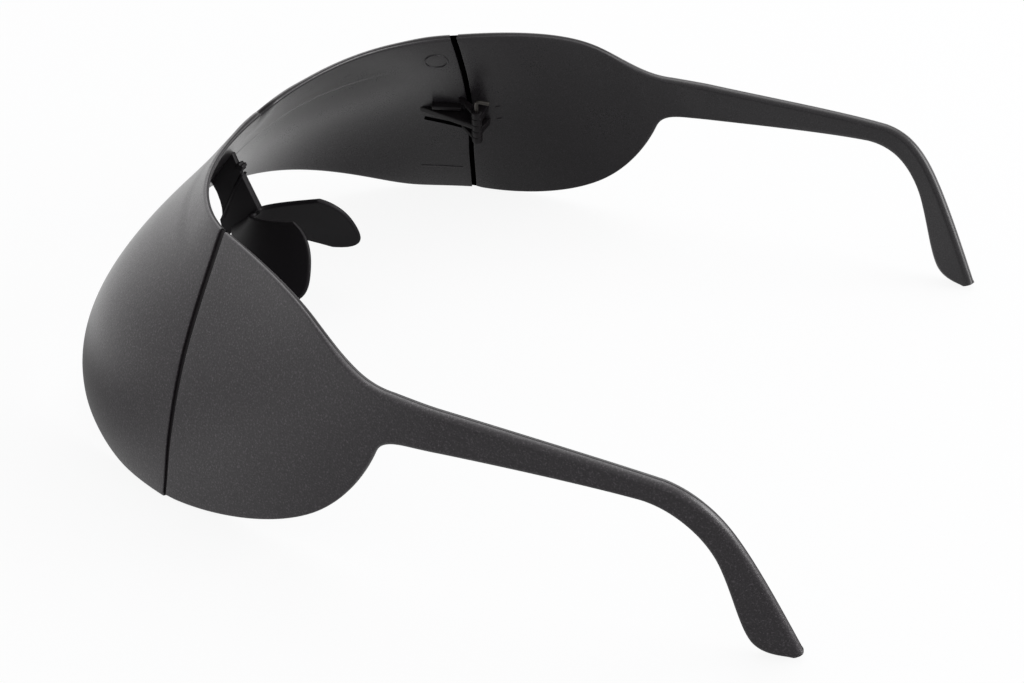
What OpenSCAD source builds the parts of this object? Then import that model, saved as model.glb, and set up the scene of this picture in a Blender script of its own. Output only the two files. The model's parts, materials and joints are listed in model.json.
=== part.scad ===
// Wrap-around view-limiting glasses: a domed visor, two side shields that are one
// moulding with their temple arms, two bent hinge wires and a push-on nose piece.
// The glasses stand open on the lower edges of the shields and on the arm tips.
// +X is the wearer's left, -Y the front, +Z up. Everything is in millimetres.

/* [Front] */
// Half the width of the front at the lower end of the seam
front_half_w = 70.8; // [64:0.1:78]
// How far the front would stand before the seam at table height, on the centre line
front_depth = 37.6; // [34:0.1:41]
// Height of the top edge of the front above the table
front_h = 47; // [42:0.5:52]
// How far the front has leaned back at the top edge, on the centre line
front_lean = 25.5; // [22:0.1:29]
// Wall of the visor and the side shields
wall = 1.5; // [1.2:0.1:2]
// Round on the free edges of the walls
edge_round = 0.45; // [0.2:0.05:0.55]

/* [Seam] */
// Inward lean of the wall at the seam, below the knee, per millimetre of height
lean_low = 0.2; // [0.1:0.01:0.3]
// Inward lean of the wall at the seam, above the knee
lean_high = 0.784; // [0.6:0.01:0.9]
// Height of the knee, where the wall turns inward
knee_z = 27; // [22:0.5:32]
// Softness of the knee
knee_soft = 5; // [2:0.5:8]
// Backward rake of the seam per millimetre of height
seam_rake = 0.09; // [0:0.01:0.15]
// Gap between the visor and the lip of the side shield
seam_gap = 0.12; // [0.1:0.01:0.3]
// Width of the groove beside the lip, at the bottom
groove_low = 0.5; // [0.4:0.05:1]
// Width of the groove beside the lip, at the top
groove_high = 1.4; // [0.6:0.1:2]
// Thickness of the lip, which stands in the middle of the wall
lip_t = 0.8; // [0.5:0.1:0.9]

/* [Outline of the visor] */
// Height of the top edge on the centre line
brow_mid_z = 44.9; // [43:0.1:46]
// Rise of the top edge beside the centre line
brow_rise = 2; // [1:0.1:3]
// Fall of the top edge from there to the seam
brow_fall = 0.9; // [0.5:0.1:1.5]
// Height of the band below the top edge that turns upright
brow_band = 10.3; // [8:0.1:12]
// How far that band turns upright, as a height by which the wall lags behind
brow_turn = 2.2; // [1:0.1:3]
// Height of the lower edge on the centre line
lower_mid_z = 25.5; // [24:0.1:27]
// Share of each half, beside the seam, whose lower edge lies on the table
lower_flat = 0.13; // [0.08:0.01:0.18]
// Rounding of the lower edge on the centre line, as a share of each half
lower_round = 0.05; // [0.03:0.01:0.08]

/* [Side shield and arm] */
// How far behind the seam the wall has become upright
fade_len = 54; // [50:1:60]
// Outward bow of the side shield between the seam and the neck
side_bow = 3.3; // [1:0.1:4.5]
// Distance from the seam to the neck of the arm, along the top edge
neck_y = 48; // [46:0.5:52]
// Height of the top edge at the neck
neck_z = 35.3; // [33:0.1:37]
// Height of the arm at the neck
neck_h = 9.1; // [8:0.1:11]
// Distance from the seam to the bend behind the ear
bend_y = 97; // [90:0.1:105]
// Height of the top edge at the bend
bend_z = 32.1; // [29:0.1:33.5]
// Height of the arm just before the bend
bend_h = 4.3; // [3.4:0.1:5.5]
// Length of the hook behind the bend, measured along the table
hook_run = 24.2; // [20:0.1:27]
// Thickness of the arm
arm_t = 2.6; // [2.2:0.1:3.4]
// Inward sweep of the hook per millimetre of its run
hook_in = 0.31; // [0:0.01:0.5]

/* [Hinge] */
// Height of the middle of the hinge
hinge_z = 21.8; // [20.5:0.1:23]
// Distance from the outer face of the wall to the hinge axis
hinge_inset = 4.5; // [4.2:0.1:5.5]
// Distance of the hinge axis behind the seam
hinge_back = 3.6; // [3.2:0.1:4.2]
// Inward lean of the hinge axis per millimetre of height
hinge_lean = 0.44; // [0.38:0.01:0.48]
// Backward rake of the hinge axis per millimetre of height
hinge_rake = 0.17; // [0.1:0.01:0.2]
// Diameter of the hinge barrel
barrel_d = 2.5; // [2.2:0.1:3]
// Height of one knuckle
knuckle_h = 2; // [1.8:0.1:2.4]
// Gap between two knuckles
knuckle_gap = 0.12; // [0.08:0.01:0.2]
// Diameter of the hinge wire
wire_d = 1; // [0.8:0.05:1.2]
// Running clearance of the wire in the knuckles, on the radius
wire_clear = 0.05; // [0.03:0.01:0.08]
// Length of the wire between the top knuckle and its bent leg
wire_rise = 3.2; // [2:0.1:4]
// Length of the bent leg of the wire
wire_leg = 3.1; // [2:0.1:4]
// Thickness of the ribs that carry the knuckles
rib_t = 1.1; // [0.9:0.1:1.6]
// Length of the shield's ribs along the wall
rib_foot = 2.2; // [1.8:0.1:3]
// Thickness of the main gusset
gusset_t = 1.6; // [1.2:0.1:1.8]
// Length of the main gusset along the visor
gusset_len = 15; // [12:0.2:16]
// Length of the stiffening bar above the hinge
bar_len = 7.2; // [5:0.1:8]
// How far the stiffening bar stands off the wall
bar_h = 1.5; // [1:0.1:2]
// Height of the stiffening bar above the middle of the hinge, along the axis
bar_rise = 1.5; // [1:0.1:3]

/* [Nose piece] */
// Height of the middle of the fin's root, on the outer face of the dome
fin_root_z = 31.6; // [31:0.1:32.2]
// Reach of the nose piece's ridge behind the middle of the fin's root
nose_reach = 8.3; // [7.6:0.1:9]
// Drop of the ridge's front end below the middle of the fin's root
nose_drop = 14.5; // [13.5:0.1:15.5]
// Thickness of the fin on the visor
fin_t = 1.3; // [1.1:0.1:1.6]
// Thickness of the fin's tongue, inside the sleeve
tongue_t = 0.6; // [0.5:0.05:0.7]
// Clearance between the tongue and the sleeve, on each side
tongue_clear = 0.05; // [0.03:0.01:0.1]
// Wall of the sleeve beside the tongue
sleeve_wall = 0.5; // [0.4:0.05:0.7]
// Edge wall of the sleeve around the tongue
sleeve_edge = 1; // [0.8:0.1:1.2]
// Gap between the fin and the mouth of the sleeve
mouth_gap = 0.15; // [0.1:0.01:0.2]
// Diameter of the stop on the rear edge of the fin, above the sleeve
stop_d = 1.5; // [1.2:0.1:1.8]
// Thickness of the nose pads
pad_t = 1.1; // [0.9:0.1:1.5]
// Half the spread of the pads at their lower rear corners
pad_spread = 14.3; // [13:0.1:15.5]

/* [Hidden] */
shell_colour = [0.13, 0.13, 0.135];
nose_colour = [0.07, 0.07, 0.075];
wire_colour = [0.3, 0.29, 0.28];
brow_dip_w = 0.08;
toe_soft = 0.025;
visor_half_cols = 32;
visor_rows = 10;
side_rows = 8;
panel_cols = 20;
arm_cols = 7;
hook_cols = 14;
pad_cols = 11;
pad_rows = 8;
step_u = 0.002;
step_mm = 0.02;

// General helpers
function unit(v) = v / norm(v);
function soft_step(x) = x <= 0 ? 0 : x >= 1 ? 1 : x * x * (3 - 2 * x);
function knee(x, at, soft) = soft * ln(1 + exp((x - at) / soft));
function bezier(p, t) = pow(1 - t, 3) * p[0] + 3 * pow(1 - t, 2) * t * p[1]
    + 3 * (1 - t) * t * t * p[2] + pow(t, 3) * p[3];
// A chain of Bezier arcs; stops lists the share of the chain at which each arc ends
function chain(arcs, stops, s, k = 0) =
    (k == len(arcs) - 1 || s <= stops[k + 1])
    ? bezier(arcs[k], (s - stops[k]) / (stops[k + 1] - stops[k]))
    : chain(arcs, stops, s, k + 1);
// How far a rounded edge of radius r stands back, at distance x from the edge
function edge_inset(x, r) = x >= r ? 0 : r - sqrt(r * r - (r - x) * (r - x));
// Rows across a sheet of height h: close together in the rounds, even between them
function row_shares(h, r, n) = concat([0, 0.25 * r / h],
    [for (k = [0:n]) r / h + (1 - 2 * r / h) * k / n], [1 - 0.25 * r / h, 1]);

// The wall at the seam
function lean(z) = lean_low * z + (lean_high - lean_low) * knee(z, knee_z, knee_soft);
function seam_x(z) = front_half_w - lean(z);
function seam_y(z) = seam_rake * z;

// The domed front: at each height one Bezier arc from the centre line to the seam. Its
// belly bows forward of the centre line, so that the front is a little hollow there.
function front_y(s) = front_lean * pow(s, 2.22) + 1.46 * s * (1 - s) - front_depth;
function seam_turn(s) = 19.9 - 53.1 * s + 77.7 * s * s;
function belly_pull(s) = 1.116 + 0.5 * s - 0.336 * s * s;
function visor_plan(u, z) = let (
    s = max(0, z) / front_h, x1 = seam_x(z), y0 = front_y(s), y1 = seam_y(z),
    a = seam_turn(s), pull = belly_pull(s) * (y1 - y0))
    bezier([[0, y0], [(0.369 - 0.22 * s) * x1, y0],
        [x1 - sin(a) * pull, y1 - cos(a) * pull], [x1, y1]], u);
function visor_top(u) = let (a = abs(u))
    brow_mid_z + brow_rise * (1 - exp(-pow(a / brow_dip_w, 2))) - brow_fall * pow(max(0, 2 * a - 1), 2);
function visor_bottom(u) = lower_mid_z * knee(1 - norm([u, lower_round]), lower_flat, toe_soft)
    / (1 - lower_round - lower_flat);
// Near the top edge the wall turns upright: its plan lags behind its height
function upright(u, z) = brow_turn * pow(max(0, 1 + (z - visor_top(u)) / brow_band), 2)
    * (1 - pow(u, 6));
function visor_skin(u, z) = let (p = visor_plan(abs(u), z - upright(u, z)))
    [u < 0 ? -p.x : p.x, p.y, z];
function visor_normal(u, z) = unit(cross(
    visor_skin(u + step_u, z) - visor_skin(u - step_u, z),
    visor_skin(u, z + step_mm) - visor_skin(u, z - step_mm)));
// A point that lies the depth d below the outer face
function visor_at(u, z, d) = visor_skin(u, z) - d * visor_normal(u, z);

// The side shield and arm: a wall over an outline drawn in the side view
function fade(d) = d <= 0 ? 1 : d >= fade_len ? 0 : pow(1 - d / fade_len, 1.4);
function side_x(y, z) = let (d = y - seam_y(z), e = min(1, max(0, d / neck_y)))
    front_half_w - lean(z) * fade(d) + side_bow * e * (2 - e)
    + soft_step((y - neck_y) / (bend_y - neck_y)) - hook_in * knee(y, bend_y + 5, 2);
function side_skin(y, z) = [side_x(y, z), y, z];
function side_normal(y, z) = unit([1,
    -(side_x(y + step_mm, z) - side_x(y, z)) / step_mm,
    -(side_x(y, z + step_mm) - side_x(y, z - step_mm)) / (2 * step_mm)]);
function side_at(y, z, d) = side_skin(y, z) - d * side_normal(y, z);
function side_t(y) = wall + (arm_t - wall) * soft_step((y - neck_y + 14) / 22);
seam_top_z = visor_top(1);
seam_low_z = 0.3;
tip_y = bend_y + hook_run;
bend_low = [bend_y - 3.7, bend_z - bend_h];
// Outlines, from the seam to the neck, then the arm, then the hook
top_arcs = [
    [[seam_y(seam_top_z), seam_top_z], [13, 46.6], [23, 46.1], [30, 42.9]],
    [[30, 42.9], [36.5, 39.9], [neck_y - 7.5, neck_z + 0.1], [neck_y, neck_z]]];
low_arcs = [
    [[0, seam_low_z], [10, -0.8], [24, 1.2], [33, 7.3]],
    [[33, 7.3], [39, 11.4], [43, 17.6], [neck_y - 3, neck_z - 12.4]],
    [[neck_y - 3, neck_z - 12.4], [neck_y - 1.9, neck_z - 10],
     [neck_y, neck_z - neck_h - 0.2], [neck_y + 4.5, neck_z - neck_h]]];
arm_top = [[neck_y, neck_z], [neck_y + 16, neck_z - 1.2], [bend_y - 13, bend_z + 1.5],
    [bend_y, bend_z]];
arm_low = [[neck_y + 4.5, neck_z - neck_h], [neck_y + 18, neck_z - neck_h + 0.8],
    [bend_low.x - 10, bend_low.y + 0.2], bend_low];
hook_top = [
    [[bend_y, bend_z], [bend_y + 6.2, bend_z - 1.2], [bend_y + 9.8, bend_z - 5.1],
     [bend_y + 13.1, bend_z - 10.3]],
    [[bend_y + 13.1, bend_z - 10.3], [bend_y + 16.4, bend_z - 15.5], [tip_y - 3.6, 8.3],
     [tip_y, 1.1]]];
hook_low = [
    [bend_low, [bend_low.x + 6.7, bend_low.y - 0.5], [bend_y + 7.9, bend_z - 9.8],
     [bend_y + 10.2, bend_z - 15.4]],
    [[bend_y + 10.2, bend_z - 15.4], [bend_y + 12.5, bend_z - 20.9],
     [tip_y - 10.5, 5.6], [tip_y - 8.5, 2.6]],
    [[tip_y - 8.5, 2.6], [tip_y - 7.3, 0.9], [tip_y - 5.4, 0.05], [tip_y - 2, 0.05]]];
stations = concat(
    [for (i = [1:panel_cols]) let (s = i / panel_cols)
        [chain(low_arcs, [0, 0.5, 0.76, 1], s), chain(top_arcs, [0, 0.5, 1], s)]],
    [for (i = [1:arm_cols]) let (s = i / arm_cols) [bezier(arm_low, s), bezier(arm_top, s)]],
    [for (i = [1:hook_cols]) let (s = i / hook_cols)
        [chain(hook_low, [0, 0.42, 0.8, 1], s), chain(hook_top, [0, 0.38, 1], s)]]);
function groove(z) = groove_low + (groove_high - groove_low) * max(0, z) / front_h;

// Columns lie a little closer together toward the seam, where the share runs faster
visor_cols = [for (i = [-visor_half_cols:visor_half_cols])
    let (t = i / visor_half_cols) t * (1.25 - 0.25 * abs(t))];

// Where the origin lies: under the middle of the open glasses, on the table
front_most = min([for (u = visor_cols) min([for (v = row_shares(visor_top(u)
    - visor_bottom(u), edge_round, visor_rows))
        visor_skin(u, visor_bottom(u) + v * (visor_top(u) - visor_bottom(u))).y])]);
mid_y = (tip_y + front_most) / 2;
table_z = min([for (u = visor_cols) visor_at(u, visor_bottom(u), wall - edge_round).z]);

// A closed sheet between two grids of points, outer[i][j] and inner[i][j]
module sheet(outer, inner) {
    n = len(outer);
    m = len(outer[0]);
    skin = [for (i = [0:n - 2]) for (j = [0:m - 2])
        let (a = i * m + j, b = a + m)
        each [[a, a + 1, b], [b, a + 1, b + 1]]];
    back = [for (f = skin) [f[0] + n * m, f[2] + n * m, f[1] + n * m]];
    rim_low = [for (i = [0:n - 2]) let (a = i * m, b = a + m, k = n * m)
        each [[a, b, a + k], [b, b + k, a + k]]];
    rim_top = [for (i = [0:n - 2]) let (a = i * m + m - 1, b = a + m, k = n * m)
        each [[a, a + k, b], [b, a + k, b + k]]];
    end_a = [for (j = [0:m - 2]) let (a = j, k = n * m)
        each [[a, a + k, a + 1], [a + 1, a + k, a + k + 1]]];
    end_b = [for (j = [0:m - 2]) let (a = (n - 1) * m + j, k = n * m)
        each [[a, a + 1, a + k], [a + 1, a + k + 1, a + k]]];
    polyhedron(concat([for (c = outer) each c], [for (c = inner) each c]),
        concat(skin, back, rim_low, rim_top, end_a, end_b), convexity = 8);
}

// The hinge's own frame: X outward from the axis, Y backward, Z along the axis
axis_z = unit([-hinge_lean, hinge_rake, 1]);
axis_x = unit([1, 0, 0] - axis_z.x * axis_z);
axis_y = cross(axis_z, axis_x);
axis_at = side_skin(seam_y(hinge_z), hinge_z) + [0, hinge_back, 0] - hinge_inset * axis_x;
function to_hinge(p) = let (q = p - axis_at) [q * axis_x, q * axis_y, q * axis_z];
module at_hinge() {
    multmatrix([
        [axis_x.x, axis_y.x, axis_z.x, axis_at.x],
        [axis_x.y, axis_y.y, axis_z.y, axis_at.y],
        [axis_x.z, axis_y.z, axis_z.z, axis_at.z],
        [0, 0, 0, 1]]) children();
}
pitch = knuckle_h + knuckle_gap;
// Middle of knuckle k, counted from the middle one
function knuckle_at(k) = k * pitch;
// Wall points, at the depth d, that lie at the height h of the hinge frame
function visor_wall_z(u, d, h, z, n) = n == 0 ? z :
    visor_wall_z(u, d, h, z + h - to_hinge(visor_at(u, z, d)).z, n - 1);
function visor_foot(u, h) = to_hinge(visor_at(u, visor_wall_z(u, wall / 2, h,
    hinge_z + h, 5), wall / 2));
function side_wall_z(y, d, h, z, n) = n == 0 ? z :
    side_wall_z(y, d, h, z + h - to_hinge(side_at(y, z, d)).z, n - 1);
function side_foot(y, h) = to_hinge(side_at(y, side_wall_z(y, wall / 2, h,
    hinge_z + h, 5), wall / 2));
function flat(p) = [p.x, p.y];
// Share of the visor, counted from its centre, that lies d before the seam
function before_seam(d) = 1 - d / 125;

module knuckle(k) {
    translate([0, 0, knuckle_at(k) - knuckle_h / 2]) cylinder(d = barrel_d, h = knuckle_h, $fn = 48);
}
module wire_bore() {
    translate([0, 0, -3 * pitch])
        cylinder(d = wire_d + 2 * wire_clear, h = 6 * pitch, $fn = 48);
}
// A gusset from a knuckle to two feet on the wall
module rib(h, t, foot_a, foot_b) {
    translate([0, 0, h - t / 2]) linear_extrude(t) polygon([
        [-0.35 * barrel_d, -0.1 * barrel_d], flat(foot_a), flat(foot_b),
        [0.2 * barrel_d, 0.4 * barrel_d]]);
}
// A bar along the wall, from the distance a to the distance b before the seam
module wall_bar(h, t, a, b, stand) {
    foot_a = flat(visor_foot(before_seam(a), h));
    foot_b = flat(visor_foot(before_seam(b), h));
    inward = (wall / 2 + stand) * unit([foot_b.y - foot_a.y, foot_a.x - foot_b.x]);
    translate([0, 0, h - t / 2]) linear_extrude(t)
        polygon([foot_a, foot_b, foot_b - inward, foot_a - inward]);
}

// Visor
function visor_grid(deep) = [for (u = visor_cols)
    let (z0 = visor_bottom(u), h = visor_top(u) - z0)
    [for (v = row_shares(h, edge_round, visor_rows))
        let (x = min(v, 1 - v) * h, s = edge_inset(x, edge_round))
        visor_at(u, z0 + v * h, deep ? wall - s : s)]];
module visor_hinge() {
    at_hinge() {
        knuckle(2);
        knuckle(0);
        knuckle(-2);
        for (k = [-2, 2])
            rib(knuckle_at(k), rib_t, visor_foot(before_seam(5), knuckle_at(k)),
                visor_foot(before_seam(1.2), knuckle_at(k)));
        rib(knuckle_at(0), gusset_t, visor_foot(before_seam(gusset_len), knuckle_at(0)),
            visor_foot(before_seam(1.2), knuckle_at(0)));
        wall_bar(bar_rise, rib_t, bar_len + 1.4, 1.4, bar_h);
    }
}
// The nose piece's own frame: shares of its reach and drop from the middle of the fin's
// root, in the middle plane of the glasses
nose_at = visor_at(0, fin_root_z, wall);
function nose_p(a, b) = [nose_at.y + a * nose_reach, nose_at.z + b * nose_drop];
fin_root = [nose_p(0.3, 0.297), nose_p(-0.398, -0.196)];
fin_front = [nose_p(-0.187, -0.407), nose_p(-0.096, -0.538), nose_p(-0.06, -0.648)];
mouth = [nose_p(-0.072, -0.786), nose_p(0.217, -0.324), nose_p(0.56, -0.03)];
ridge_rear = nose_p(1, -0.545);
ridge_front = nose_p(0.133, -1);
chin = [nose_p(-0.084, -0.931), nose_p(-0.145, -0.841)];
up_rear = unit(mouth[2] - ridge_rear);
up_front = unit(chin[0] - ridge_front);
along = unit(ridge_rear - ridge_front);
// Square to the mouth, towards the fin
to_fin = unit([mouth[0].y - mouth[2].y, mouth[2].x - mouth[0].x]);
// A plate of thickness t that stands in the middle plane
module upright_plate(t, outline) {
    translate([-t / 2, 0, 0]) rotate([90, 0, 90]) linear_extrude(t) polygon(outline);
}
// The tongue's outline, inset by e from the edges of the sleeve, and reaching by the
// length of the root past the mouth into the fin
function tongue(e, root) = [
    mouth[2] + e * [-up_rear.y, up_rear.x] + root * to_fin,
    ridge_rear + e / abs(cross(up_rear, along)) * (up_rear - along),
    ridge_front + e / abs(cross(up_front, along)) * (up_front + along),
    chin[1] - e * to_fin, mouth[0] - e * to_fin,
    fin_front[1] + [0.6 * e, 0], mouth[1] + root * to_fin];
module nose_fin() {
    stop = nose_p(0.53, 0.069);
    upright_plate(fin_t, concat(fin_root, fin_front, [for (p = mouth) p + mouth_gap * to_fin]));
    upright_plate(tongue_t, tongue(sleeve_edge, fin_t));
    translate([-fin_t / 2 - 0.25, stop.x, stop.y]) rotate([0, 90, 0])
        cylinder(d = stop_d, h = fin_t + 0.5, $fn = 32);
}
module visor() {
    color(shell_colour) place() difference() {
        union() {
            sheet(visor_grid(false), visor_grid(true));
            visor_hinge();
            mirror([1, 0, 0]) visor_hinge();
            nose_fin();
        }
        at_hinge() wire_bore();
        mirror([1, 0, 0]) at_hinge() wire_bore();
    }
}

// Side shield with its arm, drawn for the left. Its front edge and its groove run
// parallel to the end face of the visor, which is square to the visor's own wall.
function end_slope(z) = side_normal(seam_y(z), z).y - visor_normal(1, z).y;
function seam_col(gap, share, deep) = let (h = seam_top_z - seam_low_z, step = (wall - lip_t) / 2)
    [for (v = row_shares(h, edge_round, side_rows))
        let (z = seam_low_z + v * h, s = edge_inset(min(v, 1 - v) * h, edge_round),
             d = max(s, share * step), depth = deep ? wall - d : d)
        side_at(seam_y(z) + seam_gap + gap * groove(z) + depth * end_slope(z), z, depth)];
function side_grid(deep) = concat(
    [seam_col(0, 1, deep), seam_col(0.98, 1, deep), seam_col(1, 0, deep)],
    [for (st = stations)
        let (a = st[0], b = st[1], h = norm(b - a), t = side_t(a.x),
             r = min(0.45 * t, edge_round + t - wall, 0.4 * h))
        [for (v = row_shares(h, r, side_rows))
            let (p = a + v * (b - a), s = edge_inset(min(v, 1 - v) * h, r))
            side_at(p.x, p.y, deep ? t - s : s)]]);
rib_near = seam_y(hinge_z) + hinge_back - rib_foot / 2;
module side_hinge() {
    at_hinge() {
        knuckle(1);
        knuckle(-1);
        for (k = [-1, 1])
            rib(knuckle_at(k), knuckle_h, side_foot(rib_near, knuckle_at(k)),
                side_foot(rib_near + rib_foot, knuckle_at(k)));
    }
}
module side_shield() {
    difference() {
        union() {
            sheet(side_grid(false), side_grid(true));
            side_hinge();
        }
        at_hinge() wire_bore();
    }
}
module side_shield_left() { color(shell_colour) place() side_shield(); }
module side_shield_right() { color(shell_colour) place() mirror([1, 0, 0]) side_shield(); }

// Hinge wire: a straight run through the knuckles and a leg bent over at the top
wire_top = knuckle_at(2) + knuckle_h / 2 + wire_rise;
module hinge_wire() {
    at_hinge() {
        translate([0, 0, knuckle_at(-2) - knuckle_h / 2])
            cylinder(d = wire_d, h = wire_top - knuckle_at(-2) + knuckle_h / 2, $fn = 48);
        translate([0, 0, wire_top]) sphere(d = wire_d, $fn = 48);
        translate([0, 0, wire_top]) rotate([-90, 0, -11.5]) cylinder(d = wire_d, h = wire_leg, $fn = 48);
    }
}
module hinge_wire_left() { color(wire_colour) place() hinge_wire(); }
module hinge_wire_right() { color(wire_colour) place() mirror([1, 0, 0]) hinge_wire(); }

// Nose piece: a sleeve for the tab and two thin pads that spread to the sides of the nose
function pad_p(x, y, z) = [x, nose_at.y + y * nose_reach, nose_at.z + z * nose_drop];
pad_top = [pad_p(0.6, 0.92, -0.62), pad_p(3.8, 0.6, -0.636), pad_p(6, 2.27, -0.475),
    pad_p(5.1, 2.63, -0.36)];
pad_low = [pad_p(0.6, 0.19, -0.96), pad_p(6.8, 0.57, -1.16),
    pad_p(pad_spread + 1.2, 1.28, -1.49), pad_p(pad_spread, 2.94, -1.56)];
function pad_skin(s, w) = let (a = bezier(pad_top, s), b = bezier(pad_low, s))
    a + w * (b - a) + [0.7, 2.2, 0] * 4 * w * (1 - w) * pow(s, 3);
function pad_normal(s, w) = unit(cross(
    pad_skin(s + step_u, w) - pad_skin(s - step_u, w),
    pad_skin(s, w + step_u) - pad_skin(s, w - step_u)));
function pad_grid(deep) = [for (i = [0:pad_cols])
    [for (j = [0:pad_rows]) let (w = (1 - cos(180 * j / pad_rows)) / 2,
        s = i / pad_cols * (1 - 0.16 * pow(abs(2 * w - 1), 5)), n = pad_normal(s, w),
        e = (j == 0 || j == pad_rows || i == pad_cols) ? 0.28 : 0.5)
        pad_skin(s, w) + n * pad_t * (deep ? -e : e)]];
pocket_t = tongue_t + 2 * tongue_clear;
sleeve_t = pocket_t + 2 * sleeve_wall;
module nose_sleeve() {
    difference() {
        upright_plate(sleeve_t, concat(mouth, [ridge_rear, ridge_front], chin));
        upright_plate(pocket_t, tongue(sleeve_edge - tongue_clear, fin_t));
    }
}
module nose_piece() {
    color(nose_colour) place() union() {
        nose_sleeve();
        sheet(pad_grid(false), pad_grid(true));
        mirror([1, 0, 0]) sheet(pad_grid(false), pad_grid(true));
    }
}

module place() { translate([0, -mid_y, -table_z]) children(); }

visor();
side_shield_left();
side_shield_right();
hinge_wire_left();
hinge_wire_right();
nose_piece();
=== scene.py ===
"""Wrap-around view-limiting glasses: the finished surfaces, on the frame of the packed model."""

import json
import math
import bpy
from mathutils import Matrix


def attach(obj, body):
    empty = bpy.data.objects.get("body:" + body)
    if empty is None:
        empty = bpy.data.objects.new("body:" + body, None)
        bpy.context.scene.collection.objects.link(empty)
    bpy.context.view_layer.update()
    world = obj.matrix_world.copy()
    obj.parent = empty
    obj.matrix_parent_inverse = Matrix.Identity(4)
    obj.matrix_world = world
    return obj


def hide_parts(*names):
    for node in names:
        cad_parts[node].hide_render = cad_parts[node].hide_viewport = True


bl_info = {
    "name": "View limiter",
    "version": (1, 0, 0),
    "blender": (4, 5, 0),
    "location": "View3D > Sidebar > View limiter",
    "description": "Builds the wrap-around view-limiting glasses piece by piece",
    "category": "Object",
}

import bmesh
import bpy
from bpy.props import FloatProperty, FloatVectorProperty, PointerProperty
from bpy.types import Operator, Panel, PropertyGroup
from mathutils import Euler, Matrix, Vector

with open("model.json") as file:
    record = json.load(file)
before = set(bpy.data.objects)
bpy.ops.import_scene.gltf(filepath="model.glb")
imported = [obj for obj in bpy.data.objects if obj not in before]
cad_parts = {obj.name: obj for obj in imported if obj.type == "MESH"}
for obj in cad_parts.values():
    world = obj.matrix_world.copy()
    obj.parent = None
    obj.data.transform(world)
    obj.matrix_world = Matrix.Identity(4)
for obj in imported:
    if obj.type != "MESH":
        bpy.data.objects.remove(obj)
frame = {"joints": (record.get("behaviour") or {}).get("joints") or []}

MM = 0.001
# Steps over which slopes are measured, as a share of an arc and as a length
STEP_U = 0.002
STEP = 0.02 * MM
# Rows on a rounded edge, and the angle above which two faces meet in a sharp edge, in degrees
ROUND_ANGLES = (90, 70, 50, 30, 12, 0)
SHARP_ANGLE = 38
# Rounds on the edges of the fin, its stop, the tongue and the sleeve's sides
FIN_ROUND, STOP_ROUND, TONGUE_ROUND, SLEEVE_ROUND = 0.12 * MM, 0.06 * MM, 0.05 * MM, 0.15 * MM
# Camera, found from the photograph: place in millimetres and turn in degrees
CAMERA_PLACE = (326.56, 132.26, 214.87)
CAMERA_TURN = (59.209, -0.517, 112.794)
# Lamps, in metres: both look at the middle of the table
LAMP_SIZE = 0.9
OVERHEAD_PLACE = (-0.6, -0.1, 1.0)
BEHIND_PLACE = (-0.4, 1.0, 0.5)
# The side from which the sky is brightest, and its tones from the far side to that side
SKY_SIDE = (-0.8, -0.12, 0.55)
SKY_TONES = ((0.1, 0.5), (0.5, 0.5), (0.9, 1.0))
# What glossy surfaces see in the floor: tones from 0 behind the glasses to 1 before the visor
GLOW_WAY, GLOW_SCALE, GLOW_SHIFT = (-6, -8, 0), 0.55, 0.45
GLOW_TONES = ((0.0, 0.22), (0.25, 0.34), (0.42, 0.72), (0.55, 0.34),
              (0.72, 0.22), (0.83, 0.36), (0.92, 1.0), (1.0, 0.95))
# The finishes of a shell and of a hinge, in the order of the numbers that a draft gives its faces; the dark
# and the black ones are painted shade
SHELL_FINISHES = ("grained_shell", "smooth_shell", "painted_shade_dark", "painted_shade_black")
GRAINED, SMOOTH, DARK_SHADE, BLACK_SHADE = range(4)
HINGE_FINISHES = ("painted_shade_dark", "painted_shade_black")


def length(name, text, mm):
    """A size property in metres, given in millimetres."""
    return FloatProperty(name=name, description=text, default=mm * MM, min=0, unit="LENGTH", precision=5)


def share(name, text, value, low=0.0, high=1.0):
    """A plain number without a unit."""
    return FloatProperty(name=name, description=text, default=value, min=low, max=high)


def degrees(name, text, value):
    """An angle property, given in degrees."""
    return FloatProperty(name=name, description=text, default=math.radians(value), unit="ROTATION")


def colour(name, text, value):
    """A linear colour property."""
    return FloatVectorProperty(
        name=name, description=text, default=value, size=3, min=0, max=1, subtype="COLOR")


class FrontSizes(PropertyGroup):
    """Sizes of the domed front."""

    half_width: length("Half width", "Half the width at the lower end of the seam", 70.8)
    depth: length("Depth", "How far the front would stand before the seam at table height", 37.6)
    height: length("Height", "Height of the top edge above the table", 47)
    lean_back: length("Lean", "How far the front has leaned back at the top edge", 25.5)
    lean_power: share("Lean power", "How late the front leans back", 2.22, 1, 3)
    belly: length("Belly", "How far the middle line is drawn in at half height", 0.365)
    wall: length("Wall", "Thickness of the visor and the side shields", 1.5)
    edge_round: length("Edge round", "Round on the free edges", 0.45)
    brow_middle: length("Brow height", "Height of the top edge on the centre line", 44.9)
    brow_rise: length("Brow rise", "Rise of the top edge beside the centre line", 2)
    brow_fall: length("Brow fall", "Fall of the top edge from there to the seam", 0.4)
    brow_band: length("Brow band", "Height of the band below the top edge that turns upright", 10.3)
    brow_turn: length("Brow turn", "How far that band turns upright", 2.2)
    lower_middle: length("Lower edge", "Height of the lower edge on the centre line", 25.5)
    lower_flat: share("Lower flat", "Share of each half whose lower edge lies on the table", 0.13)
    lower_round: share("Lower round", "Rounding of the lower edge on the centre line", 0.05)
    ridge_step: length("Ridge step", "How far the brow band is set back on the outside", 0.22)
    crease_step: length("Crease step", "How far the brow band is set back on the inside", 0.14)


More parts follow.
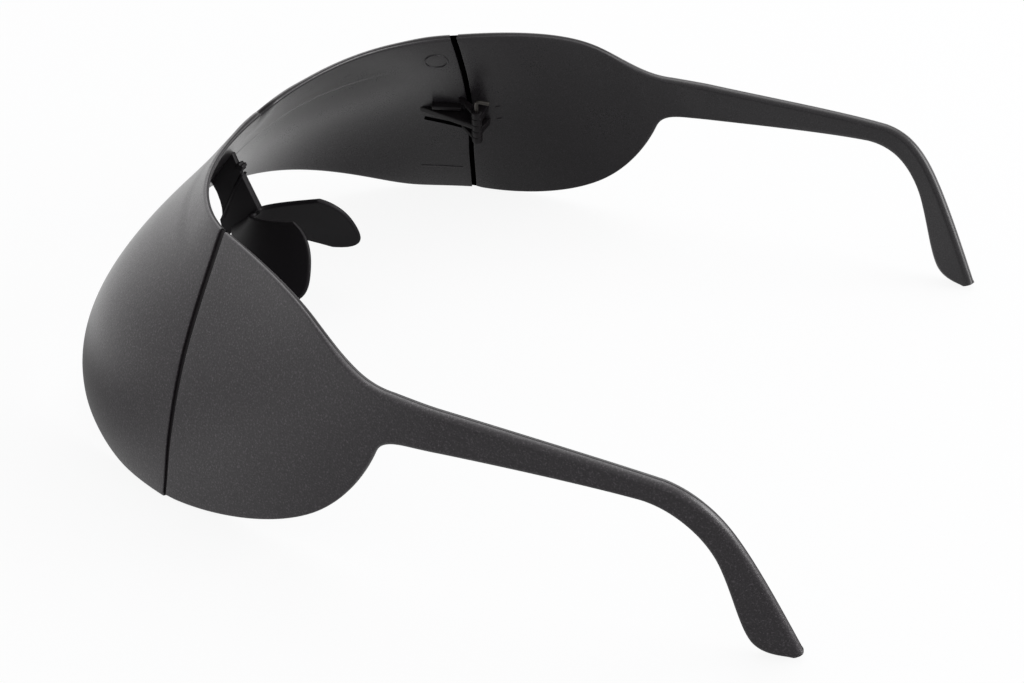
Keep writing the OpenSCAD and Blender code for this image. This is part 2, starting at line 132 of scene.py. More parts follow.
class SeamSizes(PropertyGroup):
    """Sizes of the seam between the visor and a side shield."""

    lean_low: share("Low lean", "Inward lean of the wall below the knee", 0.2)
    lean_high: share("High lean", "Inward lean of the wall above the knee", 0.784)
    knee_height: length("Knee", "Height at which the wall turns inward", 27)
    knee_soft: length("Knee softness", "Softness of the knee", 5)
    rake: share("Rake", "Backward rake of the seam", 0.09)
    forward: length("Forward", "How far the seam stands before its straight line, above its foot", 0.5)
    gap: length("Gap", "Gap between the visor and the lip of the side shield", 0.12)
    groove_low: length("Groove low", "Width of the outer groove beside the lip, at the bottom", 0.5)
    groove_high: length("Groove high", "Width of the outer groove beside the lip, at the top", 1.4)
    groove_inside: length("Groove inside", "Width of the inner groove beside the lip", 1.0)
    lip: length("Lip", "Thickness of the lip", 0.6)
    lip_reach: length("Lip reach", "How far the lip reaches into the slot in the visor's end", 0.15)
    slot: length("Slot", "Depth of the slot in the visor's end, which keeps light out", 0.3)
    slot_room: length("Slot room", "Room between the lip and each side of the slot", 0.06)
    end_round: length("End round", "Round on the wall's edges at the seam", 0.18)


class ShieldSizes(PropertyGroup):
    """Sizes of a side shield and its arm."""

    fade: length("Fade", "How far behind the seam the wall has become upright", 54)
    bow: length("Bow", "Outward bow of the side shield", 3.3)
    neck: length("Neck", "Distance from the seam to the neck", 48)
    neck_top: length("Neck top", "Height of the top edge at the neck", 35.3)
    neck_height: length("Neck height", "Height of the arm at the neck", 9.1)
    bend: length("Bend", "Distance from the seam to the bend behind the ear", 97)
    bend_top: length("Bend top", "Height of the top edge at the bend", 32.1)
    bend_height: length("Bend height", "Height of the arm before the bend", 4.3)
    hook: length("Hook", "Length of the hook along the table", 24.2)
    thick: length("Thickness", "Thickness of the arm", 2.6)
    hook_in: share("Hook sweep", "Inward sweep of the hook", 0.31)


class HingeSizes(PropertyGroup):
    """Sizes of the hinge and its wire."""

    height: length("Height", "Height of the middle of the hinge", 21.8)
    inset: length("Inset", "Distance from the outer face to the axis", 4.5)
    back: length("Set-back", "Distance of the axis behind the seam", 4.1)
    lean: share("Lean", "Inward lean of the axis", 0.44)
    rake: share("Rake", "Backward rake of the axis", 0.17)
    barrel: length("Barrel", "Diameter of the barrel", 2.5)
    knuckle: length("Knuckle", "Height of one knuckle", 2)
    gap: length("Knuckle gap", "Gap between two knuckles", 0.12)
    wire: length("Wire", "Diameter of the wire", 1)
    clearance: length("Clearance", "Running clearance of the wire", 0.05)
    rise: length("Rise", "Length of the wire above the top knuckle", 3.2)
    leg: length("Leg", "Length of the bent leg", 3.1)
    leg_turn: degrees("Leg turn", "Turn of the bent leg towards the wall", 11.5)
    wire_bend: share("Wire bend", "Radius of the wire's bend as a share of its diameter", 0.9)
    rib: length("Rib", "Thickness of the ribs", 1.1)
    rib_foot: length("Rib foot", "Length of the side shield's ribs along the wall", 2.2)
    foot_end: length("Foot end", "Distance from the seam to the feet of the visor's ribs", 1.2)
    outer_reach: length("Outer reach", "Distance from the seam to the far ends of the outer ribs' feet", 2.6)
    gusset: length("Gusset", "Thickness of the main gusset", 1.6)
    gusset_length: length("Gusset length", "Length of the main gusset", 13.8)
    bar_length: length("Bar length", "Length of the stiffening bar", 7.2)
    bar_end: length("Bar end", "Distance from the seam to the bar", 1.4)
    bar_stand: length("Bar stand", "How far the bar stands off the wall", 1.5)
    bar_rise: length("Bar rise", "Height of the bar above the middle of the hinge", 2.1)
    softening: length("Softening", "Round on the edges of the ribs", 0.16)
    # A painted shadow: a black strip on the wall below the main gusset, partly sunk into it, where the
    # gusset's shadow falls
    channel: length("Channel", "Width of the dark channel below the main gusset", 1.4)
    shadow_start: length("Channel start", "Distance of the channel's front end from the seam", 11.2)
    shadow_drop: length("Channel drop", "Drop of that end below the middle of the hinge", 2.0)
    shadow_fall: length("Channel fall", "Further drop of the channel on its way to the seam", 2.3)
    shadow_end: share("Channel end", "Share of the way to the seam that the channel covers", 0.88)
    shadow_sunk: share("Channel sunk", "How deep its middle lies in the wall, as a share of its width", 0.3)


class MarkSizes(PropertyGroup):
    """Sizes and places of the marks that the mould left on the inside."""

    line: length("Mark line", "Thickness of a raised line", 0.4)
    ring: length("Ring", "Diameter of the ring below the top edge", 5.5)
    ring_before: length("Ring place", "Distance of the ring's middle from the seam", 5)
    ring_height: length("Ring height", "Height of the ring's middle", 39.6)
    ring_flat: share("Ring flatness", "Height of the ring as a share of its width", 0.78)
    bar: length("Bar", "Length of the line near the lower edge", 11)
    bar_before: length("Bar place", "Distance of the line's middle from the seam", 7.3)
    bar_height: length("Bar height", "Height of the line", 5.7)
    tick: length("Tick", "Length of the short marks on a side shield", 1.2)
    tick_behind: length("Tick place", "Distance of the short marks behind the seam", 8.6)
    tick_low: length("Low tick", "Height of the lower short mark", 20.9)
    tick_high: length("High tick", "Height of the upper short mark", 24.4)
    tick_slope: share("Tick slope", "Rise of the short marks along their length", 0.3)


class NoseSizes(PropertyGroup):
    """Sizes of the fin on the visor and the nose piece."""

    root_height: length("Root height", "Height of the middle of the fin's root", 31.6)
    reach: length("Reach", "Reach of the ridge behind the middle of the fin's root", 8.3)
    drop: length("Drop", "Drop of the ridge's front end below the fin's root", 14.5)
    fin: length("Fin", "Thickness of the fin", 1.3)
    tongue: length("Tongue", "Thickness of the tongue in the sleeve", 0.6)
    clearance: length("Clearance", "Clearance between the tongue and the sleeve, on each side", 0.05)
    wall: length("Sleeve wall", "Wall of the sleeve beside the tongue", 0.5)
    edge: length("Sleeve edge", "Edge wall of the sleeve around the tongue", 1)
    mouth: length("Mouth gap", "Gap between the fin and the mouth of the sleeve", 0.15)
    stop: length("Stop", "Size of the cross-shaped stop on the rear edge of the fin", 1.7)
    stop_out: length("Stop stand", "How far the stop stands off each side of the fin", 0.25)
    collar: length("Collar", "Width of the raised lip along the mouth of the sleeve", 0.55)
    pad: length("Pad", "Thickness of the pads", 1.1)
    spread: length("Spread", "Half the spread of the pads", 14.3)


class Finishes(PropertyGroup):
    """Colours and grain of the pieces."""

    shell: colour("Shell", "Black of the grained outside", (0.029, 0.0242, 0.0284))
    inside: colour("Inside", "Black of the smooth inside", (0.0205, 0.018, 0.0205))
    # Painted shade: a darker copy of the plastic for the edge bands, the lip's outer side and the hinges
    hinge_and_edge_shade: colour("Recess", "Black of the edges and the hinge", (0.0115, 0.0093, 0.0108))
    # Painted shade: the black of the seam's gap, of the end faces and of the painted shadow strip under the
    # main gusset, which is no channel
    seam: colour("Seam", "Black of the deep seam and of the channels under the ribs", (0.0012, 0.001, 0.0012))
    nose: colour("Nose piece", "Black of the nose piece", (0.0155, 0.0138, 0.0158))
    wire: colour("Wire", "Grey of the hinge wire", (0.15, 0.14, 0.13))
    grain: length("Grain", "Size of the moulded grain", 0.34)
    grain_depth: length("Grain depth", "Depth of the moulded grain", 0.075)


class StageSettings(PropertyGroup):
    """Floor, light and camera."""

    floor: colour("Floor", "Colour of the floor", (0.8, 0.8, 0.82))
    floor_size: length("Floor size", "Edge of the floor", 9000)
    floor_white: share("Floor whiteness", "Share of plain white that the camera sees in the floor", 0.9)
    floor_glow: share("Floor glow", "Most brightness that glossy surfaces see in the floor", 0.98)
    sky: share("Sky", "Strength of the light from all round", 0.95, 0, 2)
    key: share("Key", "Power of the large lamp above and behind, in watts", 2.8, 0, 20)
    rim: share("Rim", "Power of the large lamp behind the arms, in watts", 9.3, 0, 20)
    lens: FloatProperty(name="Lens", description="Focal length in millimetres", default=70.804)


GROUPS = {
    "limiter_front": FrontSizes,
    "limiter_seam": SeamSizes,
    "limiter_shield": ShieldSizes,
    "limiter_hinge": HingeSizes,
    "limiter_marks": MarkSizes,
    "limiter_nose": NoseSizes,
    "limiter_finish": Finishes,
    "limiter_stage": StageSettings,
}


def knee(x, at, soft):
    """A ramp that starts softly."""
    return soft * math.log(1 + math.exp((x - at) / soft))


def clamp(x):
    """x held between 0 and 1."""
    return min(1.0, max(0.0, x))


def ramp(x, start, span):
    """0 below the start, 1 past the span, smooth between."""
    x = clamp((x - start) / span)
    return x * x * (3 - 2 * x)


def bezier(p, t):
    """A point of a cubic Bezier arc."""
    s = 1 - t
    return s * s * s * p[0] + 3 * s * s * t * p[1] + 3 * s * t * t * p[2] + t * t * t * p[3]


def chain(arcs, stops, s):
    """A point on a chain of arcs, each of which ends at its own share of the chain."""
    for k, arc in enumerate(arcs):
        if s <= stops[k + 1] or k == len(arcs) - 1:
            return bezier(arc, (s - stops[k]) / (stops[k + 1] - stops[k]))


def arcs_mm(*rows):
    """A chain of arcs, given in millimetres: each starts at the last point of the one before."""
    points = [Vector(row) * MM for row in rows]
    return [points[i:i + 4] for i in range(0, len(points) - 1, 3)]


def steps(low, high, n):
    """n + 1 even steps from low to high."""
    return [low + (high - low) * k / n for k in range(n + 1)]


def round_steps(r):
    """(distance from the edge, set-back of the face) round an edge of radius r, from the edge inwards."""
    return [(r * (1 - math.sin(math.radians(a))), r * (1 - math.cos(math.radians(a)))) for a in ROUND_ANGLES]


def rounded_rows(low, high, r, inner):
    """(place, set-back) pairs from low to high: plain inner rows between two edge rounds."""
    rounds = round_steps(r)
    rows = [(low + x, s) for x, s in rounds] + [(z, 0.0) for z in inner]
    return rows + [(high - x, s) for x, s in reversed(rounds)]


def curve(terms, s):
    """A value that changes with s as a parabola of three terms."""
    return terms[0] + terms[1] * s + terms[2] * s * s


class VisorForm:
    """The domed front: at each height one Bezier arc from the centre line to the seam."""

    # Terms over the share of the height: two handles as shares, and the end's turn in degrees
    FRONT_HANDLE = (0.369, -0.22, 0)
    END_HANDLE = (1.116, 0.5, -0.336)
    END_TURN = (19.9, -53.1, 77.7)
    # Inner and outer step: height on the centre line, rise from there to the seam, and width
    CREASE, RIDGE = (32 * MM, 6.45 * MM, 0.5 * MM), (48.4 * MM, -9 * MM, 2.2 * MM)
    # Where the outer step comes and goes and where the inner one goes: start and span, as shares of an arc
    OUTER_COMES, OUTER_GOES, INNER_GOES = (0.2, 0.2), (0.8, 0.14), (0.62, 0.24)
    # Width of the dip in the brow and softness of the lower arch's feet, as shares of an arc
    DIP, ARCH_SOFT = 0.08, 0.025
    # Height over which the seam comes forward
    FORWARD_OVER = 12 * MM

    def __init__(self, scene):
        self.front = front = scene.limiter_front
        self.seam = scene.limiter_seam
        self.half_width, self.height, self.wall = front.half_width, front.height, front.wall
        self.edge_round = front.edge_round

    def lean(self, z):
        """How far the wall at the seam leans inward at the height z."""
        seam = self.seam
        turned = knee(z, seam.knee_height, seam.knee_soft)
        return seam.lean_low * z + (seam.lean_high - seam.lean_low) * turned

    def seam_y(self, z):
        """Where the seam lies at the height z, behind its foot."""
        return self.seam.rake * z - self.seam.forward * ramp(z, 0, self.FORWARD_OVER)

    def plan(self, u, z):
        """A point of the plain dome, on the arc at one height: u runs from 0 to 1."""
        front, s = self.front, max(0.0, z) / self.height
        x1, y1 = self.half_width - self.lean(z), self.seam_y(z)
        y0 = front.lean_back * s ** front.lean_power + 4 * front.belly * s * (1 - s) - front.depth
        turn = math.radians(curve(self.END_TURN, s))
        pull = curve(self.END_HANDLE, s) * (y1 - y0)
        return bezier([Vector((0, y0)), Vector((curve(self.FRONT_HANDLE, s) * x1, y0)),
                       Vector((x1 - math.sin(turn) * pull, y1 - math.cos(turn) * pull)), Vector((x1, y1))], u)

    def skin(self, u, z):
        """A point of the outer face, which turns upright near the top edge: u runs from -1 to 1."""
        part = max(0.0, 1 + (z - self.top(u)) / self.front.brow_band)
        p = self.plan(abs(u), z - self.front.brow_turn * part ** 2 * (1 - u ** 6))
        return Vector((math.copysign(p.x, u), p.y, z))

    def normal(self, u, z):
        """The direction outward from the wall."""
        across = self.skin(u + STEP_U, z) - self.skin(u - STEP_U, z)
        up = self.skin(u, z + STEP) - self.skin(u, z - STEP)
        return across.cross(up).normalized()

    def at(self, u, z, d):
        """The point that lies the depth d below the outer face."""
        return self.skin(u, z) - d * self.normal(u, z)

    def inside(self, before, z, sunk=0.0):
        """A point of the inner face at a distance before the seam, or sunk into the wall from there."""
        across = (self.skin(1, z) - self.skin(1 - 10 * STEP_U, z)).length / (10 * STEP_U)
        return self.at(1 - before / across, z, self.wall - sunk)

    def top(self, u):
        """Height of the top edge."""
        front, a = self.front, abs(u)
        rise = front.brow_rise * (1 - math.exp(-((a / self.DIP) ** 2)))
        return front.brow_middle + rise - front.brow_fall * max(0.0, 2 * a - 1) ** 2

    def bottom(self, u):
        """Height of the lower edge, an arch between two flats."""
        flat, bend = self.front.lower_flat, self.front.lower_round
        arch = knee(1 - math.hypot(u, bend), flat, self.ARCH_SOFT)
        return self.front.lower_middle * arch / (1 - bend - flat)

    def crease(self, u):
        """Height of the fine step on the inside, below the brow band."""
        return self.CREASE[0] + self.CREASE[1] * abs(u)

    def ridge(self, u):
        """Height of the soft step on the outside, just below the rim."""
        return min(self.RIDGE[0] + self.RIDGE[1] * abs(u), self.top(u) - 2 * self.edge_round)

    def relief(self, u, z):
        """How far the outer and the inner face stand back from the plain wall."""
        a, ridge_width, crease_width = abs(u), self.RIDGE[2], self.CREASE[2]
        outer = ramp(a, *self.OUTER_COMES) * (1 - ramp(a, *self.OUTER_GOES))
        outer *= self.front.ridge_step * ramp(z, self.ridge(u) - ridge_width / 2, ridge_width)
        inner = 1 - ramp(a, *self.INNER_GOES)
        inner *= self.front.crease_step * ramp(z, self.crease(u) - crease_width / 2, crease_width)
        return outer, inner

    def heights(self, u):
        """Rows of the wall at u, close together in the edge rounds and at the crease."""
        low, high, r = self.bottom(u), self.top(u), self.edge_round
        below, above = self.crease(u) - self.CREASE[2], self.crease(u) + self.CREASE[2]
        inner = steps(low + r, below, 26)[1:] + steps(below, above, 8)[1:] + steps(above, high - r, 16)[1:-1]
        return rounded_rows(low, high, r, inner)


class ShieldForm:
    """A side shield and its arm: a wall over an outline drawn in the side view, in millimetres."""

    # Rings that make the lip, and the first of the outline's 90 steps that clears the groove
    LIP_RINGS = 3
    FIRST_STEP = 4
    # Height of the front edge's foot above the table
    FOOT = 0.3 * MM
    # Power with which the wall's lean fades, and how far the arm flares out from the neck to the bend
    FADE_POWER, FLARE = 1.4, 1 * MM
    # The inward sweep of the hook: its start behind the bend, and its softness
    SWEEP_START, SWEEP_SOFT = 5 * MM, 2 * MM
    # The change from the wall's thickness to the arm's: its start before the neck, and its length
    THICKER_BEFORE, THICKER_SPAN = 14 * MM, 22 * MM

    def __init__(self, scene, visor):
        self.visor, self.seam, self.size = visor, scene.limiter_seam, scene.limiter_shield
        self.wall, self.seam_top = visor.wall, visor.top(1)
        s = self.size
        n, nz, nh = s.neck / MM, s.neck_top / MM, s.neck_height / MM
        b, bz, bh = s.bend / MM, s.bend_top / MM, s.bend_height / MM
        tip = b + s.hook / MM
        lx, lz = b - 3.7, bz - bh
        top = self.seam_top / MM
        self.top_arcs = arcs_mm(
            (visor.seam_y(top), top), (13, 46.6), (23, 46.1), (30, 42.9),
            (36.5, 39.9), (n - 7.5, nz + 0.1), (n, nz))
        self.low_arcs = arcs_mm(
            (0, 0.3), (10, -0.8), (24, 1.2), (33, 7.3), (39, 11.4), (43, 17.6), (n - 3, nz - 12.4),
            (n - 1.9, nz - 10), (n, nz - nh - 0.2), (n + 4.5, nz - nh))
        self.arm_top = arcs_mm((n, nz), (n + 16, nz - 1.2), (b - 13, bz + 1.5), (b, bz))
        self.arm_low = arcs_mm((n + 4.5, nz - nh), (n + 18, nz - nh + 0.8), (lx - 10, lz + 0.2), (lx, lz))
        self.hook_top = arcs_mm(
            (b, bz), (b + 6.2, bz - 1.2), (b + 9.8, bz - 5.1), (b + 13.1, bz - 10.3),
            (b + 16.4, bz - 15.5), (tip - 3.6, 8.3), (tip, 1.1))
        self.hook_low = arcs_mm(
            (lx, lz), (lx + 6.7, lz - 0.5), (b + 7.9, bz - 9.8), (b + 10.2, bz - 15.4),
            (b + 12.5, bz - 20.9), (tip - 10.5, 5.6), (tip - 8.5, 2.6),
            (tip - 7.3, 0.9), (tip - 5.4, 0.05), (tip - 2, 0.05))

    def stand(self, y, z):
        """Distance of the outer face from the middle plane."""
        size, d = self.size, y - self.visor.seam_y(z)
        fade = (1 - clamp(d / size.fade)) ** self.FADE_POWER
        e = clamp(d / size.neck)
        return (self.visor.half_width - self.visor.lean(z) * fade + size.bow * e * (2 - e)
                + self.FLARE * ramp(y, size.neck, size.bend - size.neck)
                - size.hook_in * knee(y, size.bend + self.SWEEP_START, self.SWEEP_SOFT))

    def normal(self, y, z):
        """The direction outward from the wall."""
        slope_y = (self.stand(y + STEP, z) - self.stand(y, z)) / STEP
        slope_z = (self.stand(y, z + STEP) - self.stand(y, z - STEP)) / (2 * STEP)
        return Vector((1, -slope_y, -slope_z)).normalized()

    def at(self, y, z, d):
        """The point that lies the depth d below the outer face."""
        return Vector((self.stand(y, z), y, z)) - d * self.normal(y, z)

    def thickness(self, y):
        """Thickness of the wall, which grows towards the arm."""
        grown = ramp(y, self.size.neck - self.THICKER_BEFORE, self.THICKER_SPAN)
        return self.wall + (self.size.thick - self.wall) * grown

    def outline(self):
        """Pairs of points of the lower and the upper outline, from the seam to the tip."""
        pairs = [(chain(self.low_arcs, (0, 0.5, 0.76, 1), s), chain(self.top_arcs, (0, 0.5, 1), s))
                 for s in steps(0, 1, 90)[self.FIRST_STEP:]]
        pairs += [(bezier(self.arm_low[0], s), bezier(self.arm_top[0], s)) for s in steps(0, 1, 50)[1:]]
        pairs += [(chain(self.hook_low, (0, 0.42, 0.8, 1), s), chain(self.hook_top, (0, 0.38, 1), s))
                  for s in steps(0, 1, 56)[1:]]
        return pairs

    def ring(self, low, high, r, depth):
        """A closed ring across the wall between two points of the outline."""
        span = (high - low).length
        rows = rounded_rows(0, span, r, steps(r, span - r, 30)[1:-1])
        way = (high - low) / span
        outer = [self.at(*(low + x * way), s) for x, s in rows]
        inner = [self.at(*(low + x * way), depth - s) for x, s in rows]
        return outer + inner[::-1]

    def seam_ring(self, outside, inside, inset):
        """A ring at the seam: how far behind the gap each face lies, and what thins the wall."""
        low, high, r = self.FOOT, self.seam_top, self.visor.edge_round
        outer, inner = [], []
        for z, s in rounded_rows(low, high, r, steps(low + r, high - r, 30)[1:-1]):
            y, slope, d = self.visor.seam_y(z) + self.seam.gap, self.end_slope(z), max(s, inset)
            outer.append(self.at(y + outside(z) + d * slope, z, d))
            inner.append(self.at(y + inside + (self.wall - d) * slope, z, self.wall - d))
        return outer + inner[::-1]

    def end_slope(self, z):
        """Slant of the front edge, which runs parallel to the end face of the visor."""
        return self.normal(self.visor.seam_y(z), z).y - self.visor.normal(1, z).y

    def groove(self, z):
        """Width of the outer groove at the height z."""
        seam = self.seam
        return seam.groove_low + (seam.groove_high - seam.groove_low) * max(0.0, z) / self.visor.height

    def rings(self):
        """The rings from the lip back to the tip."""
        seam, r = self.seam, self.seam.end_round
        step, front, bevel = (self.wall - seam.lip) / 2, -seam.gap - seam.lip_reach, 0.1 * MM
        rings = [self.seam_ring(lambda z: front, front, step + bevel),
                 self.seam_ring(lambda z: front + bevel, front + bevel, step),
                 self.seam_ring(self.groove, seam.groove_inside, step)]
        for x, s in round_steps(r):
            rings.append(self.seam_ring(lambda z, x=x: self.groove(z) + x, seam.groove_inside + x, s))
        for low, high in self.outline():
            t = self.thickness(low.x)
            span = (high - low).length
            r = min(0.45 * t, self.visor.edge_round + t - self.wall, 0.4 * span)
            rings.append(self.ring(low, high, r, t))
        return rings


class HingeForm:
    """The hinge's own frame: X outward from the axis, Y backward, Z along the axis."""

    # Rough length of the visor's arc from the middle to the seam, along which its feet are placed
    ARC = 125 * MM

    def __init__(self, scene, visor, shield):
        self.size = size = scene.limiter_hinge
        self.visor, self.shield = visor, shield
        self.z = Vector((-size.lean, size.rake, 1)).normalized()
        self.x = (Vector((1, 0, 0)) - self.z.x * self.z).normalized()
        self.y = self.z.cross(self.x)
        y, z = visor.seam_y(size.height), size.height
        self.at = Vector((shield.stand(y, z), y, z)) + Vector((0, size.back, 0)) - size.inset * self.x
        rows = [(self.x[i], self.y[i], self.z[i], self.at[i]) for i in range(3)]
        self.matrix = Matrix(rows + [(0, 0, 0, 1)])
        self.pitch = size.knuckle + size.gap

    def local(self, p):
        """A point of the drawing frame, in the hinge's frame."""
        return self.matrix.inverted() @ p

    def foot(self, wall_point, h):
        """The wall's middle, in the hinge's frame, at the height h along the axis."""
        z = self.size.height + h
        for _ in range(6):
            z += h - self.local(wall_point(z)).z
        return self.local(wall_point(z)).to_2d()

    def visor_foot(self, before, h):
        """A foot on the visor, at about a distance before the seam."""
        u = 1 - before / self.ARC
        return self.foot(lambda z: self.visor.at(u, z, self.visor.wall / 2), h)

    def shield_foot(self, behind, h):
        """A foot on the side shield, at a distance behind the seam."""
        y = self.visor.seam_y(self.size.height) + behind
        return self.foot(lambda z: self.shield.at(y, z, self.visor.wall / 2), h)


class Draft:
    """The points and faces of a piece while it is drawn."""

    def __init__(self):
        self.points, self.faces, self.finish = [], [], []

    def add(self, points, faces, finish=0):
        """Adds points and faces, with one finish for all faces or a list with one for each."""
        start = len(self.points)
        self.points += [Vector(p) for p in points]
        self.faces += [tuple(start + i for i in f) for f in faces]
        self.finish += finish if isinstance(finish, list) else [finish] * len(faces)
        return self

    def loft(self, rings, finish_at=None, strip_caps=True):
        """A closed skin over rings of equal length; the caps join the two sides of a ring."""
        m = len(rings[0])
        faces, finish = [], []
        for i in range(len(rings) - 1):
            for j in range(m):
                k = (j + 1) % m
                faces.append((i * m + j, (i + 1) * m + j, (i + 1) * m + k, i * m + k))
                finish.append(finish_at(i, j, m) if finish_at else 0)
        last = (len(rings) - 1) * m
        if strip_caps:
            for j in range(m // 2 - 1):
                faces.append((j, j + 1, m - 2 - j, m - 1 - j))
                faces.append((last + j, last + m - 1 - j, last + m - 2 - j, last + j + 1))
                # The caps of a finished skin are painted black as shade
                finish += [BLACK_SHADE, BLACK_SHADE] if finish_at else [0, 0]
        else:
            faces.append(tuple(range(m)))
            faces.append(tuple(last + j for j in reversed(range(m))))
            finish += [0, 0]
        return self.add([p for ring in rings for p in ring], faces, finish)

    def revolve(self, profile, matrix, sides=48):
        """A closed profile of (radius, height) turned about the matrix's Z."""
        m = len(profile)
        points = [matrix @ Vector((r * math.cos(a), r * math.sin(a), h))
                  for a in (2 * math.pi * i / sides for i in range(sides)) for r, h in profile]
        faces = [(i * m + j, (i + 1) % sides * m + j, (i + 1) % sides * m + (j + 1) % m, i * m + (j + 1) % m)
                 for i in range(sides) for j in range(m)]
        return self.add(points, faces)

    def prism(self, outline, middle, thick, matrix, softening):
        """An outline extruded about the height of its middle, with softened edges."""
        if sum(a.x * b.y - b.x * a.y for a, b in zip(outline, outline[1:] + outline[:1])) < 0:
            outline = outline[::-1]
        block = bmesh.new()
        bottom, top = ([block.verts.new(matrix @ Vector((p.x, p.y, h))) for p in outline]
                       for h in (middle - thick / 2, middle + thick / 2))
        n = len(outline)
        block.faces.new(bottom[::-1])
        block.faces.new(top)
        for j in range(n):
            block.faces.new((bottom[j], bottom[(j + 1) % n], top[(j + 1) % n], top[j]))
        bmesh.ops.bevel(block, geom=block.edges[:], offset=softening, segments=3, profile=0.5, affect="EDGES")
        block.verts.index_update()
        self.add([v.co for v in block.verts], [[v.index for v in f.verts] for f in block.faces])
        block.free()
        return self

    def tube(self, path, radius, sides=24, end_share=0.3):
        """A round bar along a path; the rounds on its ends are a share of the radius."""
        rings = []
        normal = None
        last = len(path) - 1
        for i, p in enumerate(path):
            way = (path[min(i + 1, last)] - path[max(i - 1, 0)]).normalized()
            normal = way.orthogonal() if normal is None else normal - normal.dot(way) * way
            normal.normalize()
            side = way.cross(normal)
            rounds = round_steps(end_share * radius) if i in (0, last) else [(0, 0)]
            sign = 1 if i == 0 else -1
            for x, s in reversed(rounds) if i == last else rounds:
                shift, r = sign * x * way, radius - s
                rings.append([p + shift + r * (math.cos(a) * normal + math.sin(a) * side)
                              for a in (2 * math.pi * k / sides for k in range(sides))])
        return self.loft([ring[::-1] for ring in rings], strip_caps=False)

    def mirrored(self):
        """The draft's mirror image about the middle plane."""
        other = Draft()
        points = [Vector((-p.x, p.y, p.z)) for p in self.points]
        return other.add(points, [tuple(reversed(f)) for f in self.faces], list(self.finish))


class Socket:
    """A node's output that takes part in plain arithmetic."""

    def __init__(self, shader, output):
        self.shader, self.output = shader, output

    def _maths(self, operation, first, second):
        return self.shader.node("ShaderNodeMath", {"operation": operation}, {0: first, 1: second})

    def __add__(self, other):
        return self._maths("ADD", self, other)

    def __radd__(self, other):
        return self._maths("ADD", other, self)

    def __sub__(self, other):
        return self._maths("SUBTRACT", self, other)

    def __rsub__(self, other):
        return self._maths("SUBTRACT", other, self)

    def __mul__(self, other):
        return self._maths("MULTIPLY", self, other)

    def __rmul__(self, other):
        return self._maths("MULTIPLY", other, self)


class Shader:
    """A node tree that is filled by expressions."""

    def __init__(self, tree):
        self.tree = tree
        tree.nodes.clear()

    def node(self, kind, settings=None, sockets=None, output=0):
        """Adds one node: its settings first, then the values or links of its sockets."""
        made = self.tree.nodes.new(kind)
        for name, value in (settings or {}).items():
            if name == "stops":
                self.set_stops(made.color_ramp, value)
            else:
                setattr(made, name, value)
        for name, value in (sockets or {}).items():
            if isinstance(value, Socket):
                self.tree.links.new(value.output, made.inputs[name])
            else:
                made.inputs[name].default_value = value
        return Socket(self, made.outputs[output]) if len(made.outputs) else made

    @staticmethod
    def set_stops(scale, stops):
        """Sets the stops of a colour ramp, given as places and grey values."""
        while len(scale.elements) < len(stops):
            scale.elements.new(1)
        for element, (place, value) in zip(scale.elements, stops):
            element.position = place
            element.color = (value, value, value, 1)

    def mix(self, factor, a, b):
        """A colour between a and b."""
        return self.node("ShaderNodeMix", {"data_type": "RGBA"}, {0: factor, 6: a, 7: b}, output=2)

    def noise(self, place, period, detail=2.0, roughness=0.5):
        """Soft noise with bumps of about the size of the period."""
        return self.node("ShaderNodeTexNoise", {"noise_dimensions": "3D"}, {
            "Vector": place, "Scale": 1 / period, "Detail": detail, "Roughness": roughness})


def solid(rgb, factor=1.0):
    """A colour socket's four numbers."""
    return tuple(factor * c for c in rgb) + (1.0,)


def surface(name, build):
    """A material whose surface shader is what build(shader) returns."""
    material = bpy.data.materials.new(name)
    material.use_nodes = True
    shader = Shader(material.node_tree)
    shader.node("ShaderNodeOutputMaterial", sockets={"Surface": build(shader)})
    return material


def moulded_black(name, rgb, grain, depth, rough, gloss, speckle, coat):
    """Moulded black plastic: a fine grain, a faint speckle and slow changes of gloss."""
    def build(shader):
        place = shader.node("ShaderNodeTexCoord", output=3)
        fine = shader.noise(place, grain, 3.0, 0.6)
        slow = shader.noise(place, 40 * grain)
        flecks = shader.node("ShaderNodeValToRGB", {"stops": [(0.56, 0), (0.74, 1)]}, {0: fine})
        tone = shader.mix(flecks * speckle, solid(rgb, 0.92), solid(rgb, 2.6))
        bump = shader.node("ShaderNodeBump", sockets={"Height": fine, "Distance": depth, "Strength": 1.0})
        return shader.node("ShaderNodeBsdfPrincipled", sockets={
            "Base Color": tone, "Roughness": rough + 0.10 * (slow - 0.5) + 0.12 * (fine - 0.5),
            "Specular IOR Level": gloss, "Coat Weight": coat * (0.1 + 1.6 * fine) if coat else 0.0,
            "Coat Roughness": 1.4 * rough, "Normal": bump})
    return surface(name, build)


def spring_wire(name, rgb):
    """Dull drawn wire with fine draw lines."""
    def build(shader):
        place = shader.node("ShaderNodeTexCoord", output=3)
        streak = shader.noise(place, 0.25 * MM, 3.0)
        bump = shader.node("ShaderNodeBump", sockets={"Height": streak, "Distance": 0.01 * MM})
        return shader.node("ShaderNodeBsdfPrincipled", sockets={
            "Base Color": shader.mix(streak, solid(rgb, 0.7), solid(rgb, 1.2)), "Metallic": 1.0,
            "Roughness": 0.36 + 0.2 * streak, "Normal": bump})
    return surface(name, build)


